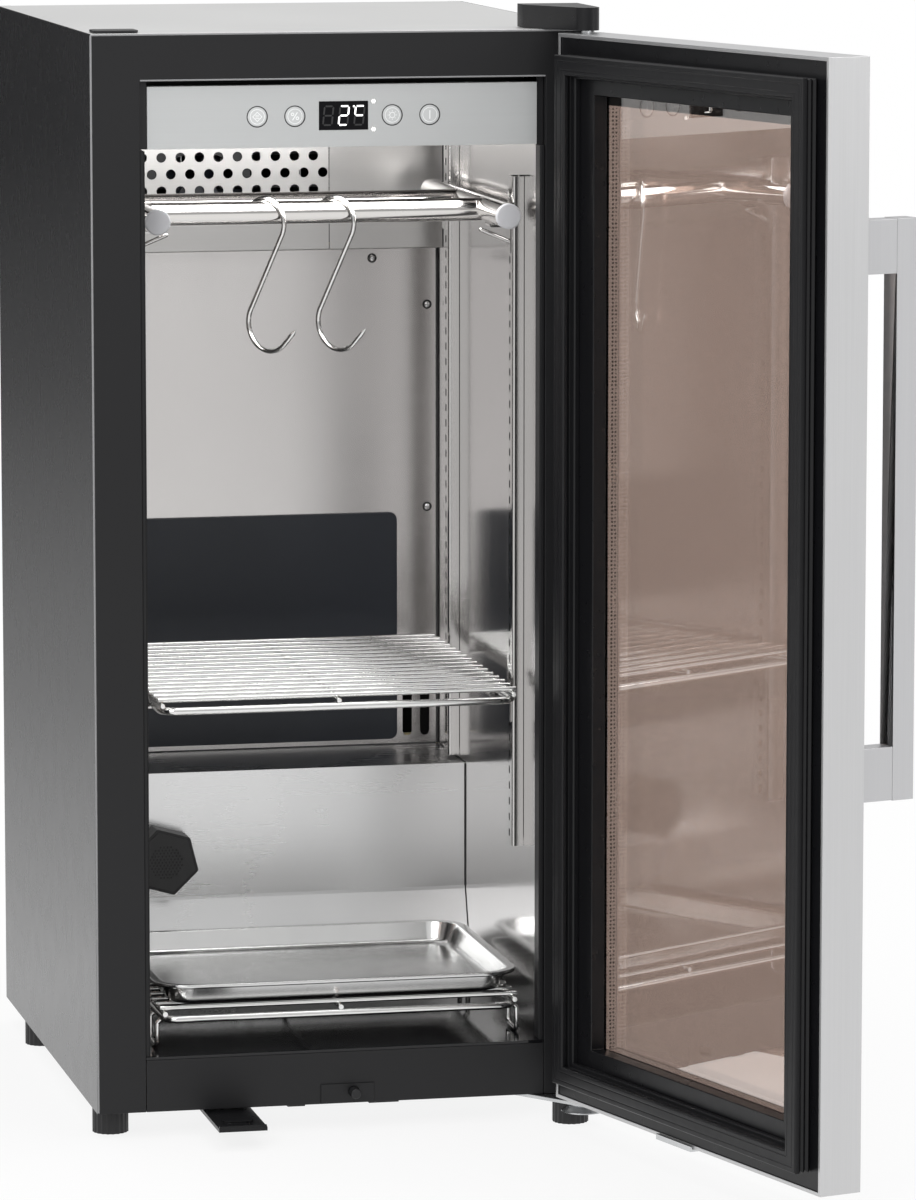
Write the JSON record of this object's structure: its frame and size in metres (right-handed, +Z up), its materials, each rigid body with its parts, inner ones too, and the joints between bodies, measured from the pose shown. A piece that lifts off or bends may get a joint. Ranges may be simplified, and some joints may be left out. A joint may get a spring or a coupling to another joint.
{
  "type": "dry aging cabinet",
  "caption": "Slim refrigerated cabinet for dry aging, with a hinged glass door, hanging frame with hooks, wire shelf, rack and drip tray, and a foot pedal that pushes the door open.",
  "frame": {"origin": "middle of the floor area that the cabinet and its open door cover, on the plane its feet stand on", "axes": "+X to the right seen from the front, +Y from the front to the back, +Z up"},
  "size_m": [0.5492, 0.8794, 0.876],
  "materials": {
    "black_paint": "satin black powder coat",
    "top_steel": "light grey satin paint",
    "galvanised": "galvanised sheet",
    "stainless": "polished stainless steel",
    "brushed_steel": "brushed stainless steel",
    "silver_paint": "satin silver paint",
    "button_plastic": "silver plastic keys",
    "black_plastic": "matte black",
    "black_gloss": "glossy black",
    "dark_panel": "dark blue grey",
    "black_enamel": "black enamel",
    "gasket_rubber": "soft black magnetic gasket",
    "bronze_glass": "bronze tinted, clear",
    "aluminium": "satin anodised",
    "zinc": "zinc plated",
    "foam": "rigid foam, light"
  },
  "bodies": {
    "cabinet": {"side_panel_left": "black_paint", "side_panel_right": "black_paint", "top_panel": "top_steel", "rear_panel": "galvanised", "base_pan": "galvanised", "insulation_foam": "foam", "front_frame": "black_paint", "plinth_panel": "black_paint", "pin_access_cover": "black_plastic", "cavity_liner": "stainless", "cavity_rear_panel": "stainless", "evaporator_cover": "stainless", "compressor_step_liner": "stainless", "cavity_floor": "black_gloss", "air_duct_panel": "dark_panel", "rail_front_left": "stainless", "rail_front_right": "stainless", "rail_rear_left": "stainless", "rail_rear_right": "stainless", "control_housing": "black_plastic", "control_fascia": "silver_paint", "control_board": "black_gloss", "hinge_bracket_top": "zinc", "hinge_cover": "black_plastic", "hinge_bracket_bottom": "zinc", "hinge_hole_cover": "black_plastic", "compressor": "black_enamel", "condenser_coil": "black_enamel", "evaporator_coil": "aluminium", "condenser_fan_housing": "black_plastic", "evaporator_fan_housing": "black_plastic", "evaporation_pan": "black_plastic", "power_cable_gland": "black_plastic"},
    "door": {"door_skin": "brushed_steel", "door_inner_frame": "black_plastic", "door_outer_pane": "bronze_glass", "door_inner_pane": "bronze_glass", "glass_spacer": "aluminium", "door_gasket": "gasket_rubber", "door_handle": "aluminium", "door_strike_plate": "zinc"},
    "evaporator_fan": {"evaporator_fan_rotor": "dark_panel"},
    "condenser_fan": {"condenser_fan_rotor": "dark_panel"},
    "filter": {"charcoal_filter": "black_plastic"},
    "mode_key": {"button_mode": "button_plastic"},
    "humidity_key": {"button_humidity": "button_plastic"},
    "light_key": {"button_light": "button_plastic"},
    "power_key": {"button_power": "button_plastic"},
    "pedal": {"foot_pedal": "black_plastic"},
    "pin": {"push_pin": "black_plastic"},
    "front_left_foot": {"foot_front_left": "black_plastic"},
    "front_right_foot": {"foot_front_right": "black_plastic"},
    "rear_left_foot": {"foot_rear_left": "black_plastic"},
    "rear_right_foot": {"foot_rear_right": "black_plastic"},
    "shelf": {"wire_shelf": "stainless"},
    "rack": {"bottom_rack": "stainless"},
    "tray": {"drip_tray": "stainless"},
    "hanger": {"hanging_frame": "stainless"},
    "left_hook": {"hook_left": "stainless"},
    "right_hook": {"hook_right": "stainless"}
  },
  "joints": [
    {"name": "door_swing", "type": "hinge", "parent": "cabinet", "child": "door", "pos_m": [0.10641, -0.06879, 0.439], "axis": [0, 0, 1], "range_deg": [-106, 14]},
    {"name": "evaporator_fan_spin", "type": "hinge", "parent": "cabinet", "child": "evaporator_fan", "pos_m": [-0.12419, 0.33911, 0.7024], "axis": [0, 1, 0], "continuous": true},
    {"name": "condenser_fan_spin", "type": "hinge", "parent": "cabinet", "child": "condenser_fan", "pos_m": [0.02041, 0.33501, 0.0761], "axis": [0, 1, 0], "continuous": true},
    {"name": "filter_twist", "type": "hinge", "parent": "cabinet", "child": "filter", "pos_m": [-0.17359, 0.22491, 0.169], "axis": [0, 1, 0], "range_deg": [0, 45]},
    {"name": "mode_press", "type": "slide", "parent": "cabinet", "child": "mode_key", "axis": [0, 1, 0], "range_m": [0, 0.0012], "stiffness_N_per_m": 600},
    {"name": "humidity_press", "type": "slide", "parent": "cabinet", "child": "humidity_key", "axis": [0, 1, 0], "range_m": [0, 0.0012], "stiffness_N_per_m": 600},
    {"name": "light_press", "type": "slide", "parent": "cabinet", "child": "light_key", "axis": [0, 1, 0], "range_m": [0, 0.0012], "stiffness_N_per_m": 600},
    {"name": "power_press", "type": "slide", "parent": "cabinet", "child": "power_key", "axis": [0, 1, 0], "range_m": [0, 0.0012], "stiffness_N_per_m": 600},
    {"name": "pedal_press", "type": "hinge", "parent": "cabinet", "child": "pedal", "pos_m": [-0.17089, 0.01221, 0.0165], "axis": [1, 0, 0], "range_deg": [0, 7], "stiffness_Nm_per_rad": 0.5, "springref_deg": -2.86},
    {"name": "pin_push", "type": "slide", "parent": "cabinet", "child": "pin", "axis": [0, -1, 0], "range_m": [0, 0.012]},
    {"name": "front_left_foot_turn", "type": "hinge", "parent": "cabinet", "child": "front_left_foot", "pos_m": [-0.25959, -0.00779, 0], "axis": [0, 0, 1], "range_deg": [-360, 360]},
    {"name": "front_right_foot_turn", "type": "hinge", "parent": "cabinet", "child": "front_right_foot", "pos_m": [0.10041, -0.04979, 0], "axis": [0, 0, 1], "range_deg": [-360, 360]},
    {"name": "rear_left_foot_turn", "type": "hinge", "parent": "cabinet", "child": "rear_left_foot", "pos_m": [-0.25959, 0.33721, 0], "axis": [0, 0, 1], "range_deg": [-360, 360]},
    {"name": "rear_right_foot_turn", "type": "hinge", "parent": "cabinet", "child": "rear_right_foot", "pos_m": [0.10541, 0.33721, 0], "axis": [0, 0, 1], "range_deg": [-360, 360]},
    {"name": "shelf_slide", "type": "slide", "parent": "cabinet", "child": "shelf", "axis": [0, -1, 0], "range_m": [0, 0.2]},
    {"name": "rack_slide", "type": "slide", "parent": "cabinet", "child": "rack", "axis": [0, -1, 0], "range_m": [0, 0.2]},
    {"name": "tray_slide", "type": "slide", "parent": "rack", "child": "tray", "axis": [0, -1, 0], "range_m": [0, 0.2]},
    {"name": "hanger_slide", "type": "slide", "parent": "cabinet", "child": "hanger", "axis": [0, -1, 0], "range_m": [0, 0.15]},
    {"name": "left_hook_swing", "type": "hinge", "parent": "hanger", "child": "left_hook", "pos_m": [-0.11659, 0.08021, 0.7105], "axis": [1, 0, 0], "range_deg": [-30, 30]},
    {"name": "right_hook_swing", "type": "hinge", "parent": "hanger", "child": "right_hook", "pos_m": [-0.06059, 0.08021, 0.7105], "axis": [1, 0, 0], "range_deg": [-30, 30]}
  ],
  "couplings": [
    {"joint": "pin_push", "follows": "pedal_press", "m_per_rad": 0.098}
  ]
}
